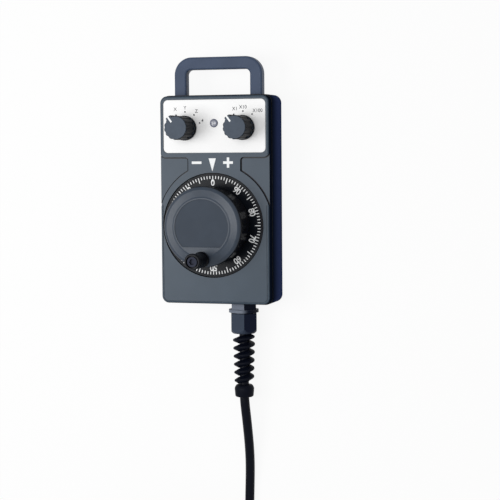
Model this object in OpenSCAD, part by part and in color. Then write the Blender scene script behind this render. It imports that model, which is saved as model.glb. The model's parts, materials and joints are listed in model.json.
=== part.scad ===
// Pulse generator handwheel: a machine tool pendant that lies on its back.
// +Z looks out of the front face and +Y points to the carry handle.
// The origin is the centre of the housing's back face. Millimetres.

/* [Housing] */
// Width of the housing
housing_w = 87; // [86:1:110]
// Height of the housing, from its cord end to its handle end
housing_h = 158; // [156:1:200]
// Depth of the housing, from its back face to its front face
housing_t = 36; // [36:1:50]
// Radius of the four corners that run from back to front
corner_r = 6; // [4:0.5:8]
// Radius along the edges of the front face
front_edge_r = 1.7; // [0.5:0.1:3]
// Radius along the edges of the back face
rear_edge_r = 3.5; // [1:0.5:5]
// Thickness of the side walls
wall = 2.6; // [2.2:0.1:3.4]
// Thickness of the back wall
back_t = 2.6; // [2:0.1:3.4]
// Thickness of the front face
face_t = 3; // [2.6:0.1:4]
// Depth of the front shell, from the front face to the seam
front_shell_t = 7; // [6:0.5:9]
// How far the front shell's sides stand in from the rear shell's
side_inset = 0.6; // [0.1:0.1:0.8]
// Depth of the bare recess in the back face
back_recess = 0.5; // [0.2:0.1:1]
// Width of that recess
recess_w = 54; // [30:1:60]
// Height of that recess
recess_h = 46; // [30:1:50]
// From the middle of the back face to the middle of the recess
recess_rise = 38; // [32:1:44]
// Width of the seal between the shells
seal_w = 1.2; // [0.8:0.1:1.4]

/* [Front face] */
// Depth of the two recesses beside the neck of the dial ring
pocket_depth = 1.3; // [0.4:0.1:1.6]
// Width of the fine groove along the foot of those recesses
pocket_line_w = 1; // [0.4:0.1:1.2]
// Depth of that groove
pocket_line_depth = 0.7; // [0.2:0.1:0.7]
// Radius at which the recesses go round the frame's lower corners
pocket_corner_r = 5; // [2:0.5:6]
// Width of the neck between the two recesses
neck_w = 41; // [34:1:46]
// Radius of the corner at the top of the neck
pocket_r = 2.6; // [1:0.2:4]
// Width of the frame below the switch plate
frame_w = 3.3; // [2:0.1:5]
// Width of the raised ring round the dial
dial_ring_w = 6.7; // [5:0.1:8]
// Width of the fine groove along the lower edges of the face
edge_groove_w = 0.5; // [0.3:0.1:0.8]
// Depth of that groove
edge_groove_depth = 0.4; // [0.2:0.1:0.8]
// Length of the pointer triangle
pointer_len = 9.8; // [6:0.2:12]
// Width of the pointer triangle
pointer_w = 5.7; // [3:0.1:8]
// Length of the plus and minus strokes
sign_len = 7.7; // [5:0.1:9]
// Width of the plus and minus strokes
sign_w = 1.9; // [1:0.1:2.5]
// Distance from the pointer to the plus and the minus
sign_spread = 12.4; // [9:0.2:14]
// Thickness of the printed marks
print_t = 0.12; // [0.1:0.01:0.2]

/* [Switch plate] */
// Width of the switch plate
plate_w = 80.3; // [76:0.1:80.5]
// Height of the switch plate
plate_h = 39.8; // [38:0.1:44]
// Corner radius of the switch plate
plate_r = 3.5; // [1:0.5:5]
// Thickness of the switch plate
plate_t = 0.8; // [0.6:0.1:1]
// How far the plate lies below the frame round it
plate_sunk = 0.4; // [0.1:0.1:0.8]
// From the handle end of the housing to the middle of the plate
plate_from_top = 23.5; // [22:0.5:30]
// Distance between the two selector shafts
selector_spread = 45.6; // [44:0.2:48]
// How far the selectors sit below the middle of the plate
selector_drop = 1.3; // [0:0.1:3]
// Radius at which the position dots lie
dot_circle_r = 12.2; // [11.4:0.1:13]
// Diameter of a position dot
dot_d = 1.2; // [0.8:0.1:1.6]
// Angle between two positions of a selector
step_angle = 36; // [30:1:36]
// Positions of the axis selector
axis_positions = 5; // [3:1:5]
// Positions of the multiplier selector
multiplier_positions = 3; // [2:1:4]

/* [Selector knobs] */
// Diameter of a selector knob
knob_d = 17.8; // [17:0.2:18.2]
// Diameter of its skirt
skirt_d = 18.6; // [18.4:0.2:20]
// Height of a selector knob
knob_h = 21.6; // [17:0.2:24]
// Height of its skirt
skirt_h = 2.8; // [2:0.2:4]
// Number of flutes round a full turn
flutes = 14; // [9:1:15]
// Depth of a flute
flute_depth = 0.6; // [0.4:0.1:1]
// How far the pointer nose stands out of the knob's side
nose_out = 1.3; // [0.8:0.1:1.8]
// Width of the pointer nose
nose_w = 4.2; // [3:0.1:4.4]
// Width of the white index line
index_w = 1.3; // [0.8:0.1:2]
// Depth of the groove that the index line fills
index_depth = 0.6; // [0.3:0.1:1]

/* [Selector switches] */
// Diameter of the switch case
switch_d = 24; // [22:0.5:26]
// Depth of the switch case
switch_h = 12; // [10:0.5:14]
// Diameter of the threaded bush
bush_d = 9; // [8:0.5:10]
// Diameter of the switch shaft
switch_shaft_d = 6; // [5:0.1:6.4]
// Width across flats of the panel nut
panel_nut_af = 12; // [11.5:0.1:12.6]
// Thickness of the panel nut
panel_nut_t = 2; // [1.4:0.1:2.4]

/* [Lamp] */
// How far the lamp sits above the middle of the plate
lamp_rise = 2.2; // [0:0.1:4]
// Diameter of the lens
lens_d = 4.2; // [3:0.1:4.4]
// Diameter of the bezel
bezel_d = 6.4; // [6.2:0.1:9]
// How far the bezel stands out of the plate
bezel_h = 0.9; // [0.5:0.1:1.5]

/* [Dial and handwheel] */
// Diameter of the dial plate
dial_d = 78.2; // [76:0.2:79.4]
// Thickness of the dial plate
dial_t = 1.9; // [1.5:0.1:2.5]
// How far the dial lies below the front face
dial_sunk = 0.8; // [0.3:0.1:1.2]
// From the cord end of the housing to the dial's axis
dial_from_bottom = 60; // [56:0.5:60]
// How far the dial's axis lies beside the middle of the housing
dial_x = -1.4; // [-1.6:0.1:0]
// Gap between the dial's rim and the well
dial_gap = 0.5; // [0.4:0.1:1]
// Number of lines on the dial
dial_lines = 100; // [50:10:100]
// Length of a line
line_len = 2.2; // [1:0.1:3]
// Length of every fifth line
long_line_len = 4.2; // [3:0.1:4.6]
// Width of a line
line_w = 0.6; // [0.3:0.05:0.7]
// Distance from the dial's rim to the lines
line_margin = 1.9; // [1:0.1:3]
// Diameter of the handwheel knob at its foot
wheel_foot_d = 56.8; // [54:0.2:57.4]
// Diameter of the handwheel knob at its rim
wheel_d = 60.2; // [60:0.2:62]
// Height of the handwheel knob from the dial to its lip
wheel_h = 28.6; // [24:0.2:30]
// Thickness of its side
wheel_wall = 2.6; // [2:0.1:3.2]
// Diameter of the knob cap
cap_d = 41.5; // [38:0.5:42]
// From the wheel's axis to the straight edge of the cap
cap_flat = 14.8; // [13:0.1:15.4]
// Thickness of the knob cap
cap_t = 1.5; // [1:0.1:2]
// How far the cap lies below the lip
cap_sunk = 0.4; // [0.1:0.1:0.8]

/* [Spinner] */
// Distance of the spinner from the wheel's axis
spinner_r = 24; // [22.6:0.1:24.4]
// Diameter of the grip
spinner_d = 12.2; // [11.6:0.1:13]
// Length of the grip
spinner_len = 21.8; // [18:0.2:26]
// Diameter of the axle's shoulder
shoulder_d = 6; // [5:0.1:6.4]
// Diameter of the axle's head
spinner_head_d = 7.4; // [7:0.1:7.8]
// Width across flats of the socket in the head
spinner_socket_af = 4; // [3:0.5:4.5]

/* [Encoder] */
// Diameter of the encoder's shaft
shaft_d = 8; // [6:0.5:9]
// Outer diameter of the two bush bearings
bearing_d = 13; // [11:0.5:14]
// Diameter of the encoder's flange
flange_d = 78; // [74:0.5:79]
// Thickness of the flange
flange_t = 3; // [2.5:0.1:4]
// Diameter of the encoder's case
case_d = 58; // [56:0.5:60]
// Depth of the case below the flange
case_h = 17; // [17:0.5:18]
// Diameter of the circle through the three mounting screws
mount_circle_d = 72; // [70:0.5:72]
// Diameter of the code disc
code_disc_d = 40; // [36:0.5:44]
// Diameter of the toothed detent wheel
detent_d = 22; // [20:0.5:24]

/* [Handle] */
// Outer width of the handle
handle_w = 69.4; // [66:0.2:69.4]
// How far the handle stands above the housing
handle_rise = 28.8; // [26:0.2:50]
// Width of the bar it is made of
handle_bar = 9.5; // [8.4:0.1:10]
// Depth of that bar, from back to front
handle_t = 8.4; // [7:0.1:10]
// Outer radius of its two bends
handle_bend = 13.4; // [10:0.2:16]
// Rounding of the bar's edges
handle_edge = 1.6; // [0.4:0.1:3]
// Height of its middle above the back face
handle_z = 21.4; // [18:0.1:22]

/* [Gland] */
// Distance of the gland from the middle of the housing
gland_x = 16; // [14:0.5:16]
// Height of the gland's axis above the back face
gland_z = 15; // [14.5:0.5:16]
// Width across flats of the gland body
gland_af = 18.5; // [18:0.1:20]
// Length of its hexagon
gland_hex_len = 5; // [4:0.1:9]
// Diameter of its flange
gland_flange_d = 22.8; // [22:0.2:26]
// Thickness of its flange
gland_flange_t = 2.3; // [1.5:0.1:4]
// Gap between the flange and the clamp nut
gland_nut_gap = 0.8; // [0.5:0.1:3]
// How far the hexagons are screwed round from pointing straight forward
gland_turn = 18; // [0:1:30]
// Diameter of its thread
gland_thread_d = 15; // [14:0.5:15.5]
// Width across flats of the clamp nut
clamp_nut_af = 19.3; // [18:0.1:20.5]
// Length of the clamp nut
clamp_nut_len = 15.4; // [10:0.1:16]
// Length of the spiral part of the bend guard
spiral_len = 41; // [30:1:60]
// Number of turns in the spiral
spiral_turns = 5.75; // [4:0.25:8]
// Outer radius of the spiral at the nut
spiral_r = 8.6; // [7.8:0.1:9]
// Outer radius of the spiral at its end
spiral_end_r = 7.5; // [6.6:0.1:7.7]
// Length of the collar at the guard's end
collar_len = 8; // [5:0.5:12]

/* [Cord] */
// Diameter of the cord
cord_d = 7.2; // [6.6:0.1:7.2]
// Turns that lie side by side in the coil
coil_columns = 3; // [2:1:4]
// Turns that lie on each other in the coil
coil_layers = 4; // [2:1:4]
// Mean radius of the coil
coil_r = 35.5; // [34:0.5:40]
// Distance between turns that lie side by side
coil_pitch = 7.3; // [7.3:0.1:7.6]
// Thickness of a tie band
tie_t = 1; // [0.6:0.1:1]

/* [Connector] */
// Diameter of the connector's shell
shell_d = 19.6; // [18:0.2:21]
// Length of the connector's shell
shell_len = 34; // [30:0.5:44]
// Diameter of the coupling ring
ring_d = 24; // [24:0.5:27]
// Length of the coupling ring
ring_len = 17; // [14:0.5:20]
// Length of the clamp nut behind the shell
back_nut_len = 15; // [12:0.5:20]
// Number of contacts round the outer circle
contacts = 11; // [6:1:12]

/* [Fits] */
// Gap all round a shaft that turns
running_fit = 0.05; // [0.02:0.01:0.09]
// Gap all round a pin or screw in its thread or seat
seat_fit = 0.02; // [0.01:0.01:0.05]
// Gap between pieces that only lie near each other
clearance = 0.3; // [0.2:0.05:0.4]

/* [Hidden] */

$fn = 64;
eps = 0.01;
SIDES = [-1, 1];

// Levels, from the back face up.
face_z = housing_t;
face_under = face_z - face_t;
seam_z = face_z - front_shell_t;
plate_z = face_z - plate_sunk;
pocket_z = face_z - pocket_depth;
dial_top = face_z - dial_sunk;
dial_under = dial_top - dial_t;
screw_head_t = 1.8;
well_floor_t = 2.5;
well_z = dial_under - screw_head_t - clearance;
well_under = well_z - well_floor_t;

// Places on the face.
top_y = housing_h / 2;
bottom_y = -housing_h / 2;
dial_y = bottom_y + dial_from_bottom;
plate_y = top_y - plate_from_top;
selector_x = selector_spread / 2;
selector_y = plate_y - selector_drop;
lamp_y = plate_y + lamp_rise;
pocket_top = plate_y - plate_h / 2 - frame_w;
dial_r = dial_d / 2;
well_r = dial_r + dial_gap;
ring_r = well_r + dial_ring_w;
well_wall = 1.6;
pointer_tip = dial_y + dial_r + 1.5;
sign_y = pointer_tip + pointer_len - sign_len / 2 + 0.6;

// Screws of the housing.
M3 = 3;
M3_clear = 3.4;
M3_head_d = 5.5;
M3_head_t = 2;
boss_d = 7.4;
boss_gap = 0.5;
boss_x = housing_w / 2 - wall - boss_gap - boss_d / 2;
boss_y = housing_h / 2 - wall - boss_gap - boss_d / 2;
BOSSES = [for (sx = SIDES, sy = SIDES) [sx * boss_x, sy * boss_y]];
boss_meet_z = 14;
screw_seat_z = back_t + 0.4;
shell_screw_len = boss_meet_z - screw_seat_z + 8;

// Selectors.
nut_z = plate_z;
knob_z = plate_z + 0.8;
knob_top = knob_z + knob_h;
knob_bevel = 0.6;
nose_r = knob_d / 2 + nose_out;
nose_z = knob_z + skirt_h + 0.5;
index_z = nose_z + 0.6;
index_from = knob_d * 0.29;
case_top = face_under;
bush_proud = 0.2;
knob_bush_depth = nut_z + panel_nut_t + bush_proud + clearance - knob_z;
shaft_top = knob_top - 4;
wafer_t = 1.5;
pin_len = 4;
pin_ring_r = switch_d / 2 - 2.6;
pin_end_z = case_top - switch_h - wafer_t - pin_len;
rest_turn = step_angle;
first_axis_turn = 2 * step_angle;

// Handwheel.
wheel_z = dial_top;
lip_z = wheel_z + wheel_h;
cap_z = lip_z - cap_sunk - cap_t;
web_t = 3.4;
web_z = cap_z - web_t;
hub_d = 17;
wheel_shaft_top = web_z;
M4 = 4;
M4_clear = 4.4;
M4_head_d = 7;

// Spinner.
spinner_y = dial_y - spinner_r;
spinner_z = lip_z + 0.2;
spinner_top = spinner_z + spinner_len;
axle_head_t = 2.6;
axle_head_z = spinner_top - 0.7 - axle_head_t;
axle_thread_d = 5;
axle_boss_d = 8.4;
axle_thread_len = 9;
shoulder_z = lip_z - 1.3;
spinner_seat_d = 9.6;

// Encoder, hung from the floor of the dial well.
case_z = well_under - flange_t - case_h;
hub_bottom = well_under - 9.5;
bearing_len = 4;
hub_top = well_z;
detent_z = hub_bottom - 1 - 2.4;
board_t = 1.6;
board_z = detent_z - 0.8 - board_t;
disc_z = board_z - 2.4;
disc_t = 1;
shaft_bottom = disc_z - 1.2;
cover_t = 2;
case_wall = 2;
terminals = 6;
terminal_pitch = 5;
terminal_depth = 8;
terminal_h = 8;
terminal_y = dial_y - case_d / 2 - clearance - terminal_depth / 2;
terminal_z = well_under - flange_t - terminal_h;

// Handle.
handle_x = (handle_w - handle_bar) / 2;
handle_mid_r = handle_bend - handle_bar / 2;
handle_screw_d = 3.5;
handle_screw_depth = 9;
handle_head_d = 5.6;
washer_t = 0.8;

// Gland, along -Y from the cord end of the housing.
seal_start = gland_hex_len + 0.5;
flange_y = bottom_y - gland_hex_len - gland_flange_t;
nut_start_y = flange_y - gland_nut_gap;
nut_thread_len = clamp_nut_len * 0.6;
clamp_nut_y = nut_start_y - clamp_nut_len;
collar_y = clamp_nut_y - spiral_len - collar_len;
cord_r = cord_d / 2;
cord_inside = 10.4;
guard_bore_r = cord_r + 0.25;

// The cord's way from inside the housing to the coil. It leaves the guard, swings out a
// little, sinks to the surface that the housing lies on and runs straight away from it.
LEAD = [
    [16, -66, 15], [16, -78, 15], [16, -92, 15], [16, -106, 15], [16, -120, 15],
    [16, -134, 15], [16, -150, 15], [16.3, -157, 14.8], [16.8, -164, 14.1], [17.3, -172, 12.9],
    [17.6, -181, 11.1], [17.7, -190, 9], [17.6, -199, 7.1], [17.3, -208, 5.5], [16.8, -218, 4.3],
    [16.3, -230, 3.7], [16, -245, 3.7], [16, -260, 3.7], [16, -275, 4], [16, -290, 4.6]
];
lead_end = LEAD[len(LEAD) - 1];
coil_x = lead_end.x - coil_r - coil_pitch * (coil_columns - 1) / 2;
coil_y = lead_end.y;
coil_z = tie_t;
layer_pitch = cord_d;
coil_h = coil_layers * layer_pitch;
coil_half_w = coil_columns * coil_pitch / 2;
// The tail comes off the coil's top layer and slopes down to the connector.
TAIL = [
    [16, -290, 26.2], [16.1, -302, 26], [16.5, -314, 24.1], [17.2, -326, 20.7],
    [18, -338, 16.8], [18.6, -349, 13.7], [19, -360, 12], [19, -372, 12], [19, -384, 12]
];
tail_end = TAIL[len(TAIL) - 1];
connector_y = TAIL[len(TAIL) - 3].y - 2;

// ---------------------------------------------------------------- helpers

module rounded_rect(w, h, r) {
    square([w - 2 * r, h], center = true);
    square([w, h - 2 * r], center = true);
    for (sx = SIDES, sy = SIDES)
        translate([sx * (w / 2 - r), sy * (h / 2 - r)]) circle(r);
}

module slab(w, h, t, r) {
    linear_extrude(t) rounded_rect(w, h, r);
}

// A rounded slab whose upper edge is rounded too.
module soft_slab(w, h, t, r, edge) {
    hull() for (sx = SIDES, sy = SIDES)
        translate([sx * (w / 2 - r), sy * (h / 2 - r), 0])
            rotate_extrude($fn = 40) polygon(concat(
                [[0, 0], [r, 0]],
                [for (a = [0:15:90]) [r - edge + edge * cos(a), t - edge + edge * sin(a)]],
                [[0, t]]));
}

module pipe(r_out, r_in, h) {
    difference() {
        cylinder(r = r_out, h = h);
        translate([0, 0, -eps]) cylinder(r = r_in, h = h + 2 * eps);
    }
}

// A hexagon across its flats, with two corners on the Y axis.
module hexagon(af, h) {
    rotate(30) cylinder(d = af / cos(30), h = h, $fn = 6);
}

// Copies at equal angles round Z.
module around(n, r) {
    for (i = [0:n - 1]) rotate(i * 360 / n) translate([r, 0, 0]) children();
}

// What is drawn up +Z is laid along -Y from the plane y.
module along_cord(x, y, z) {
    translate([x, y, z]) rotate([90, 0, 0]) children();
}

function unit(v) = v / norm(v);
function tangent(p, i) = unit(p[min(i + 1, len(p) - 1)] - p[max(i - 1, 0)]);
function side_of(t) = unit(cross(t, [0, 0, 1]));

// One tube through the points, with a ring of n corners at each of them.
module swept_tube(points, r, n) {
    rings = len(points);
    corners = [for (i = [0:rings - 1])
        let (t = tangent(points, i), s = side_of(t), u = cross(s, t))
        for (k = [0:n - 1]) points[i] + r * (cos(k * 360 / n) * s + sin(k * 360 / n) * u)];
    sides = [for (i = [0:rings - 2], k = [0:n - 1])
        let (a = i * n + k, b = i * n + (k + 1) % n)
        each [[a, b, b + n], [a, b + n, a + n]]];
    start = [for (k = [n - 1:-1:0]) k];
    end = [for (k = [0:n - 1]) (rings - 1) * n + k];
    polyhedron(concat(corners), concat(sides, [start, end]), convexity = 8);
}

// ---------------------------------------------------------------- housing

module housing_cavity(z0, z1) {
    translate([0, 0, z0])
        slab(housing_w - 2 * wall, housing_h - 2 * wall, z1 - z0, corner_r - wall);
}

// The recess beside the neck, drawn in by gap all round. It rounds the frame's lower corner.
module pocket_outline(gap) {
    reach = housing_w + gap;
    corner_x = housing_w / 2 - pocket_corner_r;
    difference() {
        union() {
            translate([neck_w / 2 + pocket_r, -reach])
                square([reach, pocket_top - gap + reach]);
            translate([neck_w / 2 + gap, -reach])
                square([reach, pocket_top - pocket_r + reach]);
            translate([neck_w / 2 + pocket_r, pocket_top - pocket_r]) circle(pocket_r - gap);
            difference() {
                translate([corner_x, pocket_top - pocket_r]) square([reach, pocket_r + pocket_corner_r]);
                translate([corner_x, pocket_top + pocket_corner_r]) circle(pocket_corner_r + gap);
            }
        }
        translate([dial_x, dial_y]) circle(ring_r + gap, $fn = 128);
        translate([dial_x, dial_y - reach]) square([3 * reach, 2 * reach], center = true);
    }
}

// The recess has a fine groove along its foot.
module pocket_cut() {
    difference() {
        translate([0, 0, pocket_z - pocket_line_depth]) linear_extrude(face_t) pocket_outline(0);
        translate([0, 0, pocket_z - face_t]) linear_extrude(face_t) pocket_outline(pocket_line_w);
    }
}

// The fine groove runs down both sides from the dial's ring and along the cord end.
module edge_groove() {
    inset = side_inset + front_edge_r;
    w = housing_w - 2 * inset;
    h = housing_h - 2 * inset;
    r = corner_r - inset;
    intersection() {
        difference() {
            rounded_rect(w, h, r);
            rounded_rect(w - 2 * edge_groove_w, h - 2 * edge_groove_w, r - edge_groove_w);
        }
        translate([-housing_w, bottom_y]) square([2 * housing_w, dial_y + ring_r / 3 - bottom_y]);
    }
}

module front_shell() {
    outer_w = housing_w - 2 * side_inset;
    outer_h = housing_h - 2 * side_inset;
    color("slategray") difference() {
        union() {
            difference() {
                translate([0, 0, seam_z])
                    soft_slab(outer_w, outer_h, front_shell_t, corner_r - side_inset, front_edge_r);
                difference() {
                    housing_cavity(seam_z - 1, face_under);
                    at_dial() cylinder(r = well_r + well_wall, h = housing_t);
                }
            }
            intersection() {
                at_dial() translate([0, 0, well_under])
                    cylinder(r = well_r + well_wall, h = seam_z - well_under);
                housing_cavity(well_under, seam_z);
            }
            difference() {
                for (b = BOSSES)
                    translate([b.x, b.y, boss_meet_z])
                        cylinder(d = boss_d, h = face_under - boss_meet_z + eps);
                handle_head_room();
            }
        }
        // The dial's well and the way through its floor.
        at_dial() {
            translate([0, 0, well_z]) cylinder(r = well_r, h = housing_t);
            cylinder(d = bearing_d + 4 + 2 * clearance, h = housing_t);
            around(3, mount_circle_d / 2) cylinder(d = M4_clear, h = housing_t);
        }
        translate([0, 0, face_z - edge_groove_depth]) linear_extrude(face_t) edge_groove();
        // The recesses beside the neck.
        for (s = SIDES) scale([s, 1, 1]) pocket_cut();
        // The plate's recess, the switch bushes and the lamp.
        translate([0, plate_y, plate_z - plate_t]) slab(plate_w + 0.2, plate_h + 0.2, face_t, plate_r);
        for (s = SIDES)
            translate([s * selector_x, selector_y, 0]) cylinder(r = bush_d / 2 + seat_fit, h = housing_t);
        translate([0, lamp_y, 0]) cylinder(r = lens_d / 2 + 0.8 + seat_fit, h = housing_t);
        for (b = BOSSES)
            translate([b.x, b.y, 0])
                cylinder(r = M3 / 2 + seat_fit, h = screw_seat_z + shell_screw_len + 0.5);
    }
}

module rear_shell() {
    color("midnightblue") difference() {
        union() {
            difference() {
                translate([0, 0, seam_z]) mirror([0, 0, 1])
                    soft_slab(housing_w, housing_h, seam_z, corner_r, rear_edge_r);
                housing_cavity(back_t, housing_t);
            }
            for (b = BOSSES)
                translate([b.x, b.y, back_t - eps]) cylinder(d = boss_d, h = boss_meet_z - back_t + eps);
        }
        for (b = BOSSES) translate([b.x, b.y, -eps]) {
            cylinder(d = M3_clear, h = boss_meet_z + 1);
            cylinder(d = M3_head_d + 0.4, h = screw_seat_z + eps);
        }
        for (s = SIDES)
            translate([s * handle_x, top_y + 1, handle_z]) rotate([90, 0, 0])
                cylinder(r = handle_screw_d / 2 + 0.2, h = wall + 2);
        along_cord(gland_x, bottom_y + wall + 1, gland_z)
            cylinder(r = gland_thread_d / 2 + seat_fit, h = wall + 2);
        translate([0, recess_rise, -eps]) slab(recess_w, recess_h, back_recess + eps, 3);
        seal_ring(seal_w + 0.2, seal_w + 0.1);
    }
}

// A ring that follows the middle of the side walls, just below the seam.
module seal_ring(w, h) {
    mid_w = housing_w - wall - side_inset;
    mid_h = housing_h - wall - side_inset;
    mid_r = corner_r - (wall + side_inset) / 2;
    translate([0, 0, seam_z - h]) difference() {
        slab(mid_w + w, mid_h + w, h + (w > seal_w ? 1 : 0), mid_r + w / 2);
        translate([0, 0, -eps]) slab(mid_w - w, mid_h - w, h + 2, mid_r - w / 2);
    }
}

module shell_seal() {
    color("black") seal_ring(seal_w, seal_w);
}

module pan_screw(d, len, head_d, head_t) {
    cylinder(d = d, h = len + eps);
    translate([0, 0, -head_t]) difference() {
        cylinder(d = head_d, h = head_t);
        translate([0, 0, -eps]) cylinder(d = d * 0.85, h = head_t * 0.6, $fn = 6);
    }
}

module shell_screws() {
    color("dimgray") for (b = BOSSES)
        translate([b.x, b.y, screw_seat_z]) pan_screw(M3, shell_screw_len, M3_head_d, M3_head_t);
}

// ---------------------------------------------------------------- handle

module carry_handle() {
    leg = handle_rise - handle_bend;
    span = handle_w - 2 * handle_bend;
    color("slategray") translate([0, top_y, handle_z]) difference() {
        union() {
            for (s = SIDES) {
                translate([s * handle_x, leg, 0]) rotate([90, 0, 0])
                    slab(handle_bar, handle_t, leg, handle_edge);
                translate([s * span / 2, leg, 0]) scale([s, 1, 1])
                    rotate_extrude(angle = 90) translate([handle_mid_r, 0])
                        rounded_rect(handle_bar, handle_t, handle_edge);
            }
            translate([-span / 2, handle_rise - handle_bar / 2, 0]) rotate([90, 0, 90])
                slab(handle_bar, handle_t, span, handle_edge);
        }
        for (s = SIDES)
            translate([s * handle_x, handle_screw_depth + 1, 0]) rotate([90, 0, 0])
                cylinder(r = handle_screw_d / 2 + seat_fit, h = handle_screw_depth + 2);
    }
}

module handle_fixing(y) {
    for (s = SIDES)
        translate([s * handle_x, y, handle_z]) rotate([-90, 0, 0]) children();
}

module handle_washers() {
    color("silver") handle_fixing(top_y - wall - washer_t)
        pipe(handle_head_d / 2, handle_screw_d / 2 + 0.2, washer_t);
}

// What the heads of the handle's screws and their washers need beside the bosses.
module handle_head_room() {
    len = M3_head_t + washer_t + clearance;
    handle_fixing(top_y - wall - len) cylinder(r = handle_head_d / 2 + clearance, h = len + wall);
}

module handle_screws() {
    color("silver") handle_fixing(top_y - wall - washer_t)
        pan_screw(handle_screw_d, wall + washer_t + handle_screw_depth, handle_head_d, M3_head_t);
}

// ---------------------------------------------------------------- plate and marks

module switch_plate() {
    color("white") difference() {
        translate([0, plate_y, plate_z - plate_t]) slab(plate_w, plate_h, plate_t, plate_r);
        for (s = SIDES)
            translate([s * selector_x, selector_y, 0]) cylinder(r = bush_d / 2 + seat_fit, h = housing_t);
        translate([0, lamp_y, 0]) cylinder(r = lens_d / 2 + 0.8 + seat_fit, h = housing_t);
    }
}

// Turns are counted from the upward direction, clockwise seen from the front.
module at_turn(turn, r) {
    rotate(-turn) translate([0, r, 0]) children();
}

module position_dots() {
    color("black") {
        translate([-selector_x, selector_y, plate_z]) for (i = [0:axis_positions - 1])
            at_turn(i * step_angle - first_axis_turn, dot_circle_r) cylinder(d = dot_d, h = print_t);
        translate([selector_x, selector_y, plate_z]) for (i = [0:multiplier_positions - 1])
            at_turn((i - 1) * step_angle, dot_circle_r) cylinder(d = dot_d, h = print_t);
    }
}

module direction_marks() {
    color("white") translate([dial_x, 0, face_z]) linear_extrude(print_t) {
        polygon([[0, pointer_tip], [pointer_w / 2, pointer_tip + pointer_len],
                 [-pointer_w / 2, pointer_tip + pointer_len]]);
        for (s = SIDES)
            translate([s * sign_spread, sign_y]) square([sign_len, sign_w], center = true);
        translate([sign_spread, sign_y]) square([sign_w, sign_len], center = true);
    }
}

module lamp_bezel() {
    color("dimgray") translate([0, lamp_y, 0]) difference() {
        union() {
            translate([0, 0, plate_z]) cylinder(d1 = bezel_d, d2 = bezel_d - 0.8, h = bezel_h);
            translate([0, 0, face_under - 5])
                cylinder(r = lens_d / 2 + 0.8, h = plate_z - face_under + 5 + eps);
        }
        translate([0, 0, face_under - 6]) cylinder(r = lens_d / 2 + seat_fit, h = housing_t);
    }
}

module lamp_lens() {
    dome = lens_d / 2;
    color("lightgray") translate([0, lamp_y, face_under - 6]) {
        cylinder(r = dome, h = plate_z + bezel_h - face_under + 6);
        translate([0, 0, plate_z + bezel_h - face_under + 6 - eps])
            rotate_extrude() polygon(concat([[0, 0]],
                [for (a = [0:15:90]) [dome * cos(a), 0.15 * dome * sin(a)]]));
        for (s = SIDES) translate([s * 1.27, 0, -6]) cylinder(d = 0.6, h = 6 + eps);
    }
}

module lamp_nut() {
    color("silver") translate([0, lamp_y, face_under - 2]) difference() {
        hexagon(10, 2);
        translate([0, 0, -1]) cylinder(r = lens_d / 2 + 0.8 + seat_fit, h = 4);
    }
}

// ---------------------------------------------------------------- selectors

module switch_case() {
    rotor_room = switch_h - 1.6;
    color("black") difference() {
        union() {
            translate([0, 0, case_top - switch_h]) cylinder(d = switch_d, h = switch_h);
            translate([0, 0, case_top - eps])
                cylinder(d = bush_d, h = nut_z + panel_nut_t + bush_proud - case_top + eps);
        }
        translate([0, 0, case_top - switch_h - eps]) cylinder(d = switch_d - 2.4, h = rotor_room);
        cylinder(r = switch_shaft_d / 2 + running_fit, h = housing_t + knob_h);
    }
}

module switch_wafer() {
    under = case_top - switch_h;
    color("peru") {
        translate([0, 0, under - wafer_t]) cylinder(d = switch_d, h = wafer_t);
        around(12, pin_ring_r) translate([0, 0, pin_end_z]) cylinder(d = 1, h = pin_len + eps);
    }
}

module switch_nut() {
    color("silver") translate([0, 0, nut_z]) difference() {
        hexagon(panel_nut_af, panel_nut_t);
        translate([0, 0, -1]) cylinder(r = bush_d / 2 + seat_fit, h = panel_nut_t + 2);
    }
}

module switch_shaft() {
    under = case_top - switch_h;
    color("silver") {
        translate([0, 0, under + clearance]) cylinder(d = switch_shaft_d, h = shaft_top - under - clearance);
        translate([0, 0, under + 3]) cylinder(d = switch_d - 2.4 - 2, h = 2.5);
        translate([switch_d / 2 - 4.2, 0, under + 1]) cylinder(d = 2, h = 2 + eps);
    }
}

// The knob's pointer nose, and the index line over its top and down its front. Both point
// along +Y before the knob is turned to its place.
module nose_round() {
    rotate_extrude($fn = 96) polygon([
        [0, nose_z], [nose_r, nose_z], [nose_r, knob_top - knob_bevel],
        [nose_r - knob_bevel, knob_top], [0, knob_top]]);
}

module knob_nose() {
    intersection() {
        nose_round();
        translate([-nose_w / 2, 0, 0]) cube([nose_w, nose_r + 1, knob_top + 1]);
    }
}

module index_cut(extra) {
    translate([-index_w / 2, index_from, knob_top - index_depth])
        cube([index_w, nose_r, index_depth + extra]);
    translate([-index_w / 2, nose_r - index_depth, index_z])
        cube([index_w, nose_r, knob_top - index_z - index_depth / 2]);
}

module selector_knob() {
    r = knob_d / 2;
    color("darkslategray") difference() {
        union() {
            rotate_extrude($fn = 96) polygon([
                [0, knob_z], [skirt_d / 2 - 0.3, knob_z], [skirt_d / 2, knob_z + 0.3],
                [skirt_d / 2, knob_z + skirt_h - 0.7], [r, knob_z + skirt_h],
                [r, knob_top - knob_bevel], [r - knob_bevel, knob_top], [0, knob_top]]);
            knob_nose();
        }
        for (i = [0:flutes - 1]) if (i > 0)
            rotate(90 + i * 360 / flutes) translate([r + 1.6 - flute_depth, 0, knob_z + skirt_h + 0.2])
                cylinder(r = 1.6, h = knob_h, $fn = 24);
        translate([0, 0, -eps])
            cylinder(d = panel_nut_af / cos(30) + 2 * clearance, h = knob_z + knob_bush_depth);
        cylinder(r = switch_shaft_d / 2 + seat_fit, h = shaft_top);
        index_cut(1);
        translate([0, 0, knob_z + knob_bush_depth + 4]) rotate([90, 0, 0])
            cylinder(r = M3 / 2 + seat_fit, h = r + 2, $fn = 32);
    }
}

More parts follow.
